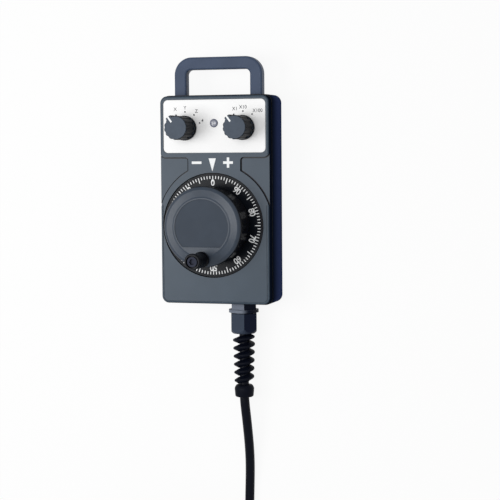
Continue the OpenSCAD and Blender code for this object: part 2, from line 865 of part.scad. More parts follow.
module knob_index() {
    color("white") intersection() {
        index_cut(0);
        nose_round();
    }
}

module grub_screw() {
    color("dimgray") translate([0, 0, knob_z + knob_bush_depth + 4]) rotate([90, 0, 0])
        translate([0, 0, switch_shaft_d / 2 + seat_fit]) difference() {
            cylinder(d = M3, h = 4, $fn = 32);
            translate([0, 0, 2.4]) cylinder(d = 1.7, h = 2, $fn = 6);
        }
}

module at_axis() {
    translate([-selector_x, selector_y, 0]) children();
}

module at_multiplier() {
    translate([selector_x, selector_y, 0]) children();
}

module axis_switch_case() { at_axis() switch_case(); }
module axis_switch_wafer() { at_axis() switch_wafer(); }
module axis_switch_nut() { at_axis() switch_nut(); }
module axis_switch_shaft() { at_axis() rotate(rest_turn) switch_shaft(); }
module axis_knob() { at_axis() rotate(rest_turn) selector_knob(); }
module axis_knob_index() { at_axis() rotate(rest_turn) knob_index(); }
module axis_grub_screw() { at_axis() rotate(rest_turn) grub_screw(); }
module multiplier_switch_case() { at_multiplier() switch_case(); }
module multiplier_switch_wafer() { at_multiplier() switch_wafer(); }
module multiplier_switch_nut() { at_multiplier() switch_nut(); }
module multiplier_switch_shaft() { at_multiplier() rotate(rest_turn) switch_shaft(); }
module multiplier_knob() { at_multiplier() rotate(rest_turn) selector_knob(); }
module multiplier_knob_index() { at_multiplier() rotate(rest_turn) knob_index(); }
module multiplier_grub_screw() { at_multiplier() rotate(rest_turn) grub_screw(); }

// ---------------------------------------------------------------- handwheel

module at_dial() {
    translate([dial_x, dial_y, 0]) children();
}

module dial_plate() {
    color("black") at_dial() difference() {
        translate([0, 0, dial_under]) cylinder(r = dial_r, h = dial_t, $fn = 128);
        cylinder(r = shaft_d / 2 + seat_fit, h = housing_t + 1);
    }
}

module dial_lines() {
    outer = dial_r - line_margin;
    color("white") at_dial() translate([0, 0, dial_top]) for (i = [0:dial_lines - 1]) {
        len = i % 5 == 0 ? long_line_len : line_len;
        rotate(-i * 360 / dial_lines) translate([-line_w / 2, outer - len, 0])
            cube([line_w, len, print_t]);
    }
}

// The cap's outline: a disc with its lower side cut straight.
module cap_outline(gap) {
    difference() {
        circle(d = cap_d - 2 * gap, $fn = 128);
        translate([-cap_d, -cap_d - cap_flat + gap]) square([2 * cap_d, cap_d]);
    }
}

module handwheel_knob() {
    foot = wheel_foot_d / 2;
    rim = wheel_d / 2;
    edge = 3.6;
    rim_z = lip_z - 0.9;
    lip_r = cap_d / 2 + 0.8;
    color("darkslategray") at_dial() difference() {
        union() {
            difference() {
                rotate_extrude($fn = 128) polygon(concat(
                    [[0, wheel_z], [foot, wheel_z], [rim, rim_z - edge]],
                    [for (a = [15:15:75]) [rim - edge + edge * cos(a), rim_z - edge + edge * sin(a)]],
                    [[rim - edge, rim_z], [lip_r + 1, lip_z - 0.3], [lip_r, lip_z], [0, lip_z]]));
                rotate_extrude($fn = 128) polygon([
                    [0, wheel_z - 1], [foot - wheel_wall, wheel_z - 1],
                    [rim - wheel_wall - edge, web_z - 2], [rim - wheel_wall - edge - 2, web_z], [0, web_z]]);
            }
            translate([0, 0, wheel_z]) cylinder(d = hub_d, h = web_z - wheel_z + eps);
            translate([0, -spinner_r, web_z - axle_thread_len])
                cylinder(d = axle_boss_d, h = axle_thread_len + eps);
            translate([0, -spinner_r, rim_z - 2]) cylinder(d = spinner_seat_d, h = lip_z - rim_z + 2);
        }
        translate([0, 0, cap_z]) linear_extrude(wheel_h) cap_outline(0);
        cylinder(r = shaft_d / 2 + seat_fit, h = wheel_shaft_top);
        cylinder(d = M4_clear, h = lip_z);
        translate([0, -spinner_r, shoulder_z - axle_thread_len])
            cylinder(r = axle_thread_d / 2 + seat_fit, h = wheel_h);
        translate([0, -spinner_r, shoulder_z]) cylinder(r = shoulder_d / 2 + seat_fit, h = wheel_h);
        translate([0, 0, cap_z - 2.4]) cylinder(d = M4_head_d + 2 * clearance, h = wheel_h);
    }
}

module knob_cap() {
    color("darkgray") at_dial() translate([0, 0, cap_z]) linear_extrude(cap_t) cap_outline(seat_fit);
}

module knob_screw() {
    head_z = cap_z - 2.4;
    color("silver") at_dial() difference() {
        union() {
            translate([0, 0, head_z]) cylinder(d = M4_head_d, h = 2.2);
            translate([0, 0, head_z - 11]) cylinder(d = M4, h = 11 + eps);
        }
        translate([0, 0, head_z + 0.8]) cylinder(d = 3 / cos(30), h = 3, $fn = 6);
    }
}

module spinner_axle() {
    color("dimgray") translate([dial_x, spinner_y, 0]) difference() {
        union() {
            translate([0, 0, shoulder_z - axle_thread_len + 0.5])
                cylinder(d = axle_thread_d, h = axle_thread_len - 0.5 + eps);
            translate([0, 0, shoulder_z]) cylinder(d = shoulder_d, h = axle_head_z - shoulder_z + eps);
            translate([0, 0, axle_head_z]) cylinder(d = spinner_head_d, h = axle_head_t);
        }
        translate([0, 0, axle_head_z + 0.6])
            cylinder(d = spinner_socket_af / cos(30), h = axle_head_t, $fn = 6);
    }
}

module spinner_grip() {
    r = spinner_d / 2;
    z = spinner_z;
    bore = shoulder_d / 2 + running_fit;
    cup_r = spinner_head_d / 2 + 1;
    cup_z = axle_head_z - 0.1;
    top = spinner_top;
    color("black") translate([dial_x, spinner_y, 0]) rotate_extrude($fn = 64) polygon([
        [bore, z], [r - 0.4, z], [r, z + 0.4], [r, z + 2.2], [r - 0.5, z + 3.4],
        [r - 0.7, z + spinner_len * 0.5], [r - 0.4, top - 4], [r, top - 2], [r, top - 1],
        [r - 0.3, top - 0.4], [r - 0.8, top], [cup_r, top], [cup_r, cup_z], [bore, cup_z]]);
}

// ---------------------------------------------------------------- encoder

module encoder_case() {
    flange_z = well_under - flange_t;
    color("silver") at_dial() difference() {
        union() {
            translate([0, 0, flange_z]) cylinder(d = flange_d, h = flange_t);
            translate([0, 0, case_z]) pipe(case_d / 2, case_d / 2 - case_wall, case_h + eps);
            translate([0, 0, hub_bottom]) cylinder(d = bearing_d + 4, h = hub_top - hub_bottom);
            around(3, code_disc_d / 2 + 4) translate([0, 0, board_z + board_t])
                cylinder(d = 4, h = flange_z - board_z - board_t + eps);
        }
        cylinder(r = bearing_d / 2 + seat_fit, h = housing_t);
        around(3, mount_circle_d / 2) cylinder(r = M4 / 2 + seat_fit, h = housing_t);
    }
}

module encoder_cover() {
    color("dimgray") at_dial() translate([0, 0, case_z - cover_t]) cylinder(d = case_d, h = cover_t);
}

module encoder_bearings() {
    color("darkgoldenrod") at_dial() for (z = [hub_bottom, hub_top - bearing_len])
        translate([0, 0, z]) pipe(bearing_d / 2, shaft_d / 2 + running_fit, bearing_len);
}

module encoder_shaft() {
    color("silver") at_dial() difference() {
        translate([0, 0, shaft_bottom]) cylinder(d = shaft_d, h = wheel_shaft_top - shaft_bottom);
        translate([0, 0, cap_z - 2.4 - 12]) cylinder(r = M4 / 2 + seat_fit, h = 20);
    }
}

module code_disc() {
    bore = shaft_d / 2 + seat_fit;
    color("lightblue") at_dial() difference() {
        union() {
            translate([0, 0, disc_z]) cylinder(d = code_disc_d, h = disc_t, $fn = 96);
            translate([0, 0, disc_z - 1]) cylinder(r = shaft_d / 2 + 2, h = disc_t + 2);
        }
        cylinder(r = bore, h = housing_t);
        around(20, code_disc_d / 2 - 2.5) translate([-1.2, -0.8, 0]) cube([2.4, 1.6, housing_t]);
    }
}

module detent_wheel() {
    teeth = 20;
    r = detent_d / 2;
    color("gray") at_dial() translate([0, 0, detent_z]) difference() {
        cylinder(r = r, h = 2.4, $fn = 96);
        translate([0, 0, -1]) cylinder(r = shaft_d / 2 + seat_fit, h = 5);
        around(teeth, r) translate([-1, -0.8, -1]) cube([2, 1.6, 5]);
    }
}

module detent_magnet() {
    gap = 0.4;
    flange_z = well_under - flange_t;
    color("darkred") at_dial() translate([-detent_d / 2 - gap - 5, -2, detent_z])
        cube([5, 4, flange_z - detent_z]);
}

module sensor_board() {
    color("darkgreen") at_dial() translate([0, 0, board_z]) difference() {
        cylinder(d = case_d - 2 * case_wall - 2 * clearance, h = board_t);
        translate([0, 0, -1]) cylinder(r = shaft_d / 2 + 3, h = board_t + 2);
    }
}

module photo_interrupter() {
    gap = 0.6;
    inner = code_disc_d / 2 - 5;
    foot = disc_z - gap - 1.4;
    color("black") at_dial() translate([inner, -4, 0]) difference() {
        translate([0, 0, foot]) cube([9, 8, board_z - foot]);
        translate([-1, -1, disc_z - gap]) cube([code_disc_d / 2 - inner + 1.6, 10, disc_t + 2 * gap]);
    }
}

module at_terminals() {
    for (i = [0:terminals - 1])
        translate([dial_x + (i - (terminals - 1) / 2) * terminal_pitch, terminal_y, terminal_z])
            children();
}

module terminal_block() {
    width = terminals * terminal_pitch;
    color("darkgreen") difference() {
        translate([dial_x - width / 2, terminal_y - terminal_depth / 2, terminal_z])
            cube([width, terminal_depth, terminal_h]);
        at_terminals() translate([0, 0, -eps]) cylinder(d = 3.6, h = 2.4 + eps);
    }
}

module terminal_screws() {
    color("silver") at_terminals() translate([0, 0, 0.4]) difference() {
        cylinder(d = 3.2, h = 2);
        translate([-2, -0.3, -eps]) cube([4, 0.6, 0.7]);
    }
}

module encoder_screws() {
    color("silver") at_dial() around(3, mount_circle_d / 2) translate([0, 0, well_z])
        mirror([0, 0, 1]) pan_screw(M4, well_floor_t + flange_t, M4_head_d, screw_head_t);
}

// ---------------------------------------------------------------- gland and guard

module at_gland(y) {
    along_cord(gland_x, y, gland_z) children();
}

module gland_body() {
    thread_in = wall + 8;
    color("darkslategray") at_gland(bottom_y) difference() {
        union() {
            rotate(-gland_turn) hexagon(gland_af, gland_hex_len);
            translate([0, 0, gland_hex_len - eps]) cylinder(d = gland_flange_d, h = gland_flange_t + eps);
            translate([0, 0, -thread_in]) cylinder(d = gland_thread_d, h = thread_in + eps);
            translate([0, 0, gland_hex_len + gland_flange_t - eps])
                cylinder(d = gland_thread_d - 1, h = gland_nut_gap + nut_thread_len);
        }
        translate([0, 0, -thread_in - 1]) cylinder(r = cord_r + 0.4, h = 60);
        translate([0, 0, seal_start]) cylinder(r = gland_thread_d / 2 - 2, h = 60);
    }
}

module gland_locknut() {
    color("dimgray") at_gland(bottom_y + wall + 4) difference() {
        hexagon(gland_af + 0.5, 4);
        translate([0, 0, -1]) cylinder(r = gland_thread_d / 2 + seat_fit, h = 6);
    }
}

module gland_seal() {
    len = gland_hex_len + gland_flange_t + gland_nut_gap + nut_thread_len - seal_start;
    color("black") at_gland(bottom_y - seal_start)
        pipe(gland_thread_d / 2 - 2 - seat_fit, cord_r + seat_fit, len);
}

module gland_clamp_nut() {
    r = clamp_nut_af / 2;
    color("darkslategray") at_gland(nut_start_y) difference() {
        intersection() {
            rotate(-gland_turn) hexagon(clamp_nut_af, clamp_nut_len);
            rotate_extrude() polygon([[0, 0], [r * 1.13, 0], [r * 1.16, 0.8], [r * 1.16, clamp_nut_len - 4],
                [r * 1.02, clamp_nut_len - 1.4], [r * 0.88, clamp_nut_len], [0, clamp_nut_len]]);
        }
        translate([0, 0, -1])
            cylinder(r = gland_thread_d / 2 - 0.5 + seat_fit, h = nut_thread_len + 1 + clearance);
        translate([0, 0, -1]) cylinder(r = guard_bore_r, h = clamp_nut_len + 2);
    }
}

// One flight of the bend guard: a pointed strip wound round the cord, thinner towards the end.
module spiral_flight() {
    steps = 16;
    n = ceil(spiral_turns * steps);
    pitch = spiral_len / spiral_turns;
    foot = 0.36 * pitch;
    tip = 0.12 * pitch;
    inner = guard_bore_r + 0.3;
    body_r = inner + 0.8;
    // Radius and height of the strip's six corners at the fraction f of its length.
    function section(f) =
        let (outer = spiral_r + (spiral_end_r - spiral_r) * f)
        [[body_r, -foot], [outer, -tip], [outer, tip], [body_r, foot], [inner, foot], [inner, -foot]];
    sides = 6;
    corners = [for (i = [0:n])
        let (f = i / n, a = f * spiral_turns * 360, z = f * (spiral_len - 2 * foot) + foot)
        for (c = section(f)) [c.x * cos(a), c.x * sin(a), z + c.y]];
    walls = [for (i = [0:n - 1], k = [0:sides - 1])
        let (a = i * sides + k, b = i * sides + (k + 1) % sides)
        each [[a, b, b + sides], [a, b + sides, a + sides]]];
    polyhedron(corners, concat(walls, [[for (k = [sides - 1:-1:0]) k]],
        [[for (k = [0:sides - 1]) n * sides + k]]), convexity = 12);
}

module bend_guard() {
    color("black") at_gland(clamp_nut_y) {
        spiral_flight();
        translate([0, 0, spiral_len]) difference() {
            rotate_extrude() polygon([
                [0, -1.2], [spiral_end_r - 1.4, -1.2], [spiral_end_r, 1.6],
                [spiral_end_r - 0.5, collar_len - 0.6], [spiral_end_r - 1.1, collar_len], [0, collar_len]]);
            translate([0, 0, -2]) cylinder(r = guard_bore_r, h = collar_len + 3);
        }
    }
}

// ---------------------------------------------------------------- cord

// Four wires fan out of the cord's end: two to the terminals and one to each selector's pins.
module inner_wires() {
    wire_r = 0.8;
    spread = 1.8;
    stub = [0, 2, 0];
    cord_end = [gland_x, bottom_y + wall + cord_inside, gland_z];
    clamp = [dial_x, terminal_y - terminal_depth / 2 - 0.1, terminal_z + terminal_h / 2];
    pin = [selector_x, selector_y - pin_ring_r, pin_end_z - wire_r - 0.1];
    // The way up the side of the housing, past the encoder.
    aisle = [housing_w / 2 - wall - 4.4, dial_y, back_t + 4.8];
    starts = [for (s = [[0, spread], [-spread, 0], [spread, 0], [0, -spread]]) cord_end + [s.x, 0, s.y]];
    routes = [
        [clamp + [15.4, -4.7, -2.7], clamp + [12.6, -3.7, -0.3], clamp + [10, -2.6, 0], clamp + [10, 0, 0]],
        [clamp + [10, -4.7, -4.3], clamp + [6, -3.7, -1.1], clamp + [2.5, -2.6, 0], clamp + [2.5, 0, 0]],
        [cord_end + [8, 5, -3], cord_end + [15, 12, -5], aisle + [-1, -22, 0.6], aisle,
         aisle + [0, 20, 0], aisle + [-2, 38, 0.6], [pin.x + 5, pin.y - 13, pin.z - 3.6],
         pin + [0, -5, 0], pin + [0, 1, 0]],
        [cord_end + [6, 6, -7], cord_end + [14, 14, -8.4], aisle + [-2.5, -20, -2], aisle + [-2, 0, -2.4],
         aisle + [-2, 20, -2.4], aisle + [-6, 38, -2], aisle + [-18, 48, -0.4],
         [0, pin.y - 10, pin.z - 5], [6 - pin.x, pin.y - 6, pin.z - 2],
         [-pin.x, pin.y - 3, pin.z], [-pin.x - 0.4, pin.y + 1, pin.z]]
    ];
    color("firebrick") for (i = [0:3])
        swept_tube(concat([starts[i], starts[i] + stub], routes[i]), wire_r, 8);
}

module cord_lead() {
    color("black") swept_tube(LEAD, cord_r, 12);
}

module cord_tail() {
    color("black") swept_tube(TAIL, cord_r, 12);
}

module coil_section(grow) {
    translate([coil_r, coil_z + coil_h / 2])
        rounded_rect(2 * coil_half_w + 2 * grow, coil_h + 2 * grow, 3);
}

module cord_coil() {
    color("black") translate([coil_x, coil_y, 0]) rotate_extrude($fn = 96) coil_section(0);
}

module cord_ties() {
    width = 12;
    color("dimgray") translate([coil_x, coil_y, 0]) for (a = [120, 240])
        rotate(a - width / 2) rotate_extrude(angle = width, $fn = 96) difference() {
            coil_section(tie_t);
            coil_section(0);
        }
}

// ---------------------------------------------------------------- connector

module at_connector(y) {
    along_cord(tail_end.x, y, tail_end.z) children();
}

module connector_back_nut() {
    color("silver") at_connector(connector_y) difference() {
        union() {
            rotate_extrude() polygon([[0, 0], [5.6, 0], [6.4, 0.8], [6.9, 4], [7.6, 5.4], [7.6, back_nut_len],
                [0, back_nut_len]]);
            translate([0, 0, back_nut_len - 7]) hexagon(17, 6);
        }
        translate([0, 0, -1]) cylinder(r = cord_r + seat_fit, h = back_nut_len + 2);
    }
}

module connector_shell() {
    color("silver") at_connector(connector_y - back_nut_len) difference() {
        union() {
            cylinder(d = shell_d - 2, h = shell_len);
            cylinder(d = shell_d, h = shell_len - ring_len - 0.2);
            translate([0, 0, shell_len - 4]) cylinder(d = shell_d, h = 1.5);
        }
        translate([0, 0, 3]) cylinder(d = shell_d - 5, h = shell_len);
        translate([0, 0, -1]) cylinder(r = cord_r + seat_fit, h = 5);
    }
}

module coupling_ring() {
    knurls = 24;
    start = connector_y - back_nut_len - shell_len + ring_len;
    color("gray") at_connector(start) difference() {
        rotate_extrude($fn = 96) polygon([[0, 0], [ring_d / 2 - 0.8, 0], [ring_d / 2, 0.8],
            [ring_d / 2, ring_len - 0.8], [ring_d / 2 - 0.8, ring_len], [0, ring_len]]);
        translate([0, 0, -1]) cylinder(r = shell_d / 2 - 1 + running_fit, h = ring_len + 2);
        translate([0, 0, ring_len - 4 - 0.2]) cylinder(r = shell_d / 2 + running_fit, h = ring_len);
        around(knurls, ring_d / 2 + 0.5) translate([0, 0, 3]) cylinder(r = 0.9, h = ring_len - 7, $fn = 16);
    }
}

module connector_insert() {
    len = 12;
    contact_d = 1.3;
    contact_depth = 6;
    start = connector_y - back_nut_len - shell_len + len + 1.2;
    color("black") at_connector(start) difference() {
        cylinder(r = shell_d / 2 - 2.5 - seat_fit, h = len);
        for (ring = [[contacts, 5.2], [5, 2.5]])
            around(ring[0], ring[1]) translate([0, 0, len - contact_depth])
                cylinder(d = contact_d, h = contact_depth + 1, $fn = 24);
    }
}

front_shell();
rear_shell();
shell_seal();
shell_screws();
carry_handle();
handle_screws();
handle_washers();
switch_plate();
position_dots();
direction_marks();
lamp_bezel();
lamp_lens();
lamp_nut();
axis_switch_case();
axis_switch_wafer();
axis_switch_nut();
axis_switch_shaft();
axis_knob();
axis_knob_index();
axis_grub_screw();
multiplier_switch_case();
multiplier_switch_wafer();
multiplier_switch_nut();
multiplier_switch_shaft();
multiplier_knob();
multiplier_knob_index();
multiplier_grub_screw();
dial_plate();
dial_lines();
handwheel_knob();
knob_cap();
knob_screw();
spinner_axle();
spinner_grip();
encoder_case();
encoder_cover();
encoder_bearings();
encoder_shaft();
code_disc();
sensor_board();
photo_interrupter();
detent_wheel();
detent_magnet();
terminal_block();
terminal_screws();
encoder_screws();
gland_body();
gland_locknut();
gland_seal();
gland_clamp_nut();
bend_guard();
inner_wires();
cord_lead();
cord_coil();
cord_tail();
cord_ties();
connector_shell();
coupling_ring();
connector_insert();
connector_back_nut();
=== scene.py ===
"""Looks of a hand-held pulse generator: slate housing, dial, handwheel and coiled cord."""

import json
import math

import bmesh
import bpy
from mathutils import Matrix, Vector


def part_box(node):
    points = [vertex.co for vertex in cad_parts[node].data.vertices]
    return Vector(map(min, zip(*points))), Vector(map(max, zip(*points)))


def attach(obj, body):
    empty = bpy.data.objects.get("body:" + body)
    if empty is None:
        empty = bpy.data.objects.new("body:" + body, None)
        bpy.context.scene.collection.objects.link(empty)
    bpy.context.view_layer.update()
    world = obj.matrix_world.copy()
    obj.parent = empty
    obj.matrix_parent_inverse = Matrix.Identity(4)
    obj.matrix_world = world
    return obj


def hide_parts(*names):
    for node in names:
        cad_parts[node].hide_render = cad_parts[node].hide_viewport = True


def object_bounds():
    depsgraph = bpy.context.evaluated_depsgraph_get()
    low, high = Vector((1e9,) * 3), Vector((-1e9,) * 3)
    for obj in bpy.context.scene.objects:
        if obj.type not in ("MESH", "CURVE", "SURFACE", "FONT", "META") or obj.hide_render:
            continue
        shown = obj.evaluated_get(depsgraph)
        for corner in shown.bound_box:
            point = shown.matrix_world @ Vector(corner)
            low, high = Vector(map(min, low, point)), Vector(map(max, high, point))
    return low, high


MM = 0.001
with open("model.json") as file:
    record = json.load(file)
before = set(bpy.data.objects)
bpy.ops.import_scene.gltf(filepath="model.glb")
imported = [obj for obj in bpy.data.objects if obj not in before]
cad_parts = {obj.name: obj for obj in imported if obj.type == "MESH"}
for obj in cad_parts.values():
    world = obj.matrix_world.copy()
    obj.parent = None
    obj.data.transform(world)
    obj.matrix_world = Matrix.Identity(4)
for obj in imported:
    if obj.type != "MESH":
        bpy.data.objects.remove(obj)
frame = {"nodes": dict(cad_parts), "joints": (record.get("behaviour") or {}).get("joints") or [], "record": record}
cad_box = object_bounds()
joint_at = {j["name"]: Vector(j["pos_m"]) for j in frame["joints"]}


def placed(name, data):
    """A new object in the scene."""
    thing = bpy.data.objects.new(name, data)
    bpy.context.collection.objects.link(thing)
    return thing


# ------------------------------------------------------------------ camera

CAMERA_AT = (346.4, 38.5, 1093.8)
CAMERA_YAW, CAMERA_TILT, CAMERA_ROLL = 16.77, -3.92, -0.44
LENS, SENSOR_W = 106.6, 36


def turned(degrees, axis):
    """A turn about an axis, in degrees."""
    return Matrix.Rotation(math.radians(degrees), 4, axis)


def set_camera():
    """A long lens above the face, a little to its right."""
    data = bpy.data.cameras.new("camera")
    data.lens, data.sensor_width = LENS, SENSOR_W
    camera = placed("camera", data)
    camera.matrix_world = (Matrix.Translation(Vector(CAMERA_AT) * MM) @ turned(CAMERA_YAW, "Y")
                           @ turned(CAMERA_TILT, "X") @ turned(CAMERA_ROLL, "Z"))
    bpy.context.scene.camera = camera


# ------------------------------------------------------------------ cord

CORD_D = 7.2
# The cord's middle, from inside the gland through the bend guard to the coil.
LEAD = [
    (16, -66, 15), (16, -78, 15), (16, -92, 15), (16, -106, 15), (16, -120, 15),
    (16, -134, 15), (16, -150, 15), (16.3, -157, 14.8), (16.8, -164, 14.1), (17.3, -172, 12.9),
    (17.6, -181, 11.1), (17.7, -190, 9), (17.6, -199, 7.1), (17.3, -208, 5.5), (16.8, -218, 4.3),
    (16.3, -230, 3.7), (16, -245, 3.7), (16, -260, 3.7), (16, -275, 4), (16, -290, 4.6),
]
# The cord's middle, from the coil's top to the connector.
TAIL = [
    (16, -290, 26.2), (16.1, -302, 26), (16.5, -314, 24.1), (17.2, -326, 20.7),
    (18, -338, 16.8), (18.6, -349, 13.7), (19, -360, 12), (19, -372, 12), (19, -384, 12),
]
PATH_STEPS = 3
# The coil: turns side by side, layers, the room for one turn, and the radius of its middle.
COIL_COLUMNS, COIL_LAYERS, COIL_PITCH, COIL_R = 3, 4, 7.3, 35.5
COIL_STEPS = 24
# The share of a turn after which the cord crosses over to the next one.
COIL_CROSSING = 0.75


def eased(t):
    """0 to 1 with a soft start and end."""
    t = min(1, max(0, t))
    return t * t * (3 - 2 * t)


def smooth_path(points):
    """More points on a smooth curve through the given ones."""
    points = [Vector(p) for p in points]
    ends = [2 * points[0] - points[1], *points, 2 * points[-1] - points[-2]]
    path = []
    for a, b, c, d in zip(ends, ends[1:], ends[2:], ends[3:]):
        for i in range(PATH_STEPS):
            t = i / PATH_STEPS
            path.append(0.5 * (2 * b + (c - a) * t + (2 * a - 5 * b + 4 * c - d) * t ** 2
                               + (3 * b - a - 3 * c + d) * t ** 3))
    return path + [points[-1]]


def coil_path():
    """Layers of turns, wound in, up, out and up again, from the lead's end to the tail."""
    outer = COIL_R + COIL_PITCH * (COIL_COLUMNS - 1) / 2
    centre = Vector(LEAD[-1]) - Vector((outer, 0, 0))
    turns = []
    for layer in range(COIL_LAYERS):
        columns = range(COIL_COLUMNS) if layer % 2 == 0 else reversed(range(COIL_COLUMNS))
        turns += [(outer - COIL_PITCH * c, layer * CORD_D) for c in columns]
    path = []
    for (radius, rise), (next_radius, next_rise) in zip(turns, turns[1:] + turns[-1:]):
        for i in range(COIL_STEPS):
            part = i / COIL_STEPS
            cross = eased((part - COIL_CROSSING) / (1 - COIL_CROSSING))
            r = radius + (next_radius - radius) * cross
            angle = -2 * math.pi * part
            path.append(centre + Vector((r * math.cos(angle), r * math.sin(angle),
                                         rise + (next_rise - rise) * cross)))
    return path


def make_cord():
    """The whole cord in one piece: lead, coil and tail."""
    route = smooth_path(LEAD)[:-1] + coil_path() + smooth_path(TAIL)
    data = bpy.data.curves.new("cord", "CURVE")
    data.dimensions = "3D"
    data.bevel_depth = CORD_D / 2 * MM
    data.bevel_resolution = 6
    data.use_fill_caps = True
    spline = data.splines.new("POLY")
    spline.points.add(len(route) - 1)
    for point, place in zip(spline.points, route):
        point.co = (*(place * MM), 1)
    spline.use_smooth = True
    cord = placed("cord", data)
    cord.data.materials.append(FINISHES["cord_black"])
    length = sum((b - a).length for a, b in zip(route, route[1:])) * MM
    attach(cord, "housing")
    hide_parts("cord_lead", "cord_coil", "cord_tail")


# ------------------------------------------------------------------ shader maths

def shade(r, g, b):
    """A colour as a screen shows it, from 0 to 255, in linear light."""
    return tuple(c / 12.92 if c <= 0.04045 else ((c + 0.055) / 1.055) ** 2.4
                 for c in (r / 255, g / 255, b / 255)) + (1,)


def tinted(colour, factor):
    """The colour, lighter or darker by the factor."""
    return tuple(c * factor for c in colour[:3]) + (1,)


class Value:
    """An output socket that Python's operators work on."""

    def __init__(self, finish, socket):
        self.finish, self.socket = finish, socket

    def maths(self, operation, other):
        return self.finish.node("ShaderNodeMath", {"operation": operation}, {0: self, 1: other})

    def __add__(self, other):
        return self.maths("ADD", other)

    __radd__ = __add__

    def __mul__(self, other):
        return self.maths("MULTIPLY", other)

    __rmul__ = __mul__

    def between(self, low, high):
        """0 below low, 1 above high, and smooth between them; high may be the lower one."""
        return self.finish.node("ShaderNodeMapRange", {"interpolation_type": "SMOOTHSTEP"},
                                {"Value": self, "From Min": low, "From Max": high}, "Result")


class Finish:
    """A material, or a room's surround, built from expressions on its sockets."""

    def __init__(self, name, library=None, output="ShaderNodeOutputMaterial"):
        library = bpy.data.materials if library is None else library
        self.material = library.new(name)
        self.material.use_nodes = True
        self.tree = self.material.node_tree
        self.tree.nodes.clear()
        self.output = self.tree.nodes.new(output)
        self.made = {}

    def node(self, kind, settings, inputs, output=0):
        """Adds a node: its settings first, then the values or links of its sockets."""
        node = self.tree.nodes.new(kind)
        for key, value in settings.items():
            setattr(node, key, value)
        for key, value in inputs.items():
            if isinstance(value, Value):
                self.tree.links.new(value.socket, node.inputs[key])
            else:
                node.inputs[key].default_value = value
        return Value(self, node.outputs[output])

    def once(self, key, make):
        """What make gives, made only the first time that the key is asked for."""
        if key not in self.made:
            self.made[key] = make()
        return self.made[key]

    def place(self):
        """The point on the piece, in metres in the model's frame."""
        return self.once("place", lambda: self.node("ShaderNodeTexCoord", {}, {}, "Object"))

    def axis(self, source, letter):
        """One of X, Y and Z of the Object place or of the Normal."""
        parts = self.once(source, lambda: self.node(
            "ShaderNodeSeparateXYZ", {}, {0: self.node("ShaderNodeTexCoord", {}, {}, source)}))
        return Value(self, parts.socket.node.outputs[letter])

    def noise(self, size, detail=2, roughness=0.5, stretch=None):
        """Noise with features about size millimetres across, 0 to 1."""
        where = self.place()
        if stretch:
            where = self.node("ShaderNodeVectorMath", {"operation": "MULTIPLY"},
                              {0: where, 1: stretch})
        return self.node("ShaderNodeTexNoise", {}, {
            "Vector": where, "Scale": 1 / (size * MM), "Detail": detail, "Roughness": roughness})

    def mix(self, factor, first, second):
        """Two colours, the first where factor is 0. Sockets 6, 7 and 2 are the node's colours."""
        return self.node("ShaderNodeMix", {"data_type": "RGBA"},
                         {0: factor, 6: first, 7: second}, 2)

    def mottled(self, colour, amount, size):
        """The colour with soft patches that are lighter and darker by the amount."""
        return self.mix(self.noise(size).between(0.3, 0.7), tinted(colour, 1 - amount),
                        tinted(colour, 1 + amount))

    def relief(self, height, depth, strength=0.6, edge=0.0):
        """A normal from a height of 0 to 1 that stands for depth millimetres, over edges that
        look broken with the radius edge."""
        inputs = {"Strength": strength, "Distance": depth * MM, "Height": height}
        if edge:
            inputs["Normal"] = self.node("ShaderNodeBevel", {"samples": 6}, {"Radius": edge * MM})
        return self.node("ShaderNodeBump", {}, inputs)

    def seen(self):
        """1 for rays from the camera and in reflections or glass, 0 for the light itself."""
        camera, glossy, glass = (self.node("ShaderNodeLightPath", {}, {}, "Is %s Ray" % kind)
                                 for kind in ("Camera", "Glossy", "Transmission"))
        return camera.maths("MAXIMUM", glossy).maths("MAXIMUM", glass)

    def finished(self, shader):
        """The material, with the shader as what shows."""
        self.tree.links.new(shader.socket, self.output.inputs["Surface"])
        return self.material

    def surface(self, colour, roughness, normal, **others):
        """The material of an ordinary surface; others are further sockets of its shader."""
        inputs = {"Base Color": colour, "Roughness": roughness, "Normal": normal}
        inputs.update({key.replace("_", " "): value for key, value in others.items()})
        return self.finished(self.node("ShaderNodeBsdfPrincipled", {}, inputs))


# ------------------------------------------------------------------ finishes

def moulded(name, colour, roughness=0.5, depth=0.02, mottle=0.05, shine=0.2, edge=0.25):
    """Moulded plastic with a fine spark-eroded grain."""
    f = Finish(name)
    return f.surface(f.mottled(colour, mottle, 14), roughness - 0.06 + 0.12 * f.noise(9),
                     f.relief(f.noise(0.35), depth, edge=edge), Specular_IOR_Level=shine)


# Heights between which painted shade deepens the housing's navy sides: towards the face, where it paints them
# nearly black, and towards the foot.
SIDE_SHADE_HEIGHTS, FOOT_SHADE_HEIGHTS = (9, 31), (4, 1.5)
# Depths below the face between which its slate turns to the painted shade of the grooves.
GROOVE_SHADE_DEPTHS = (1.4, 1.7)


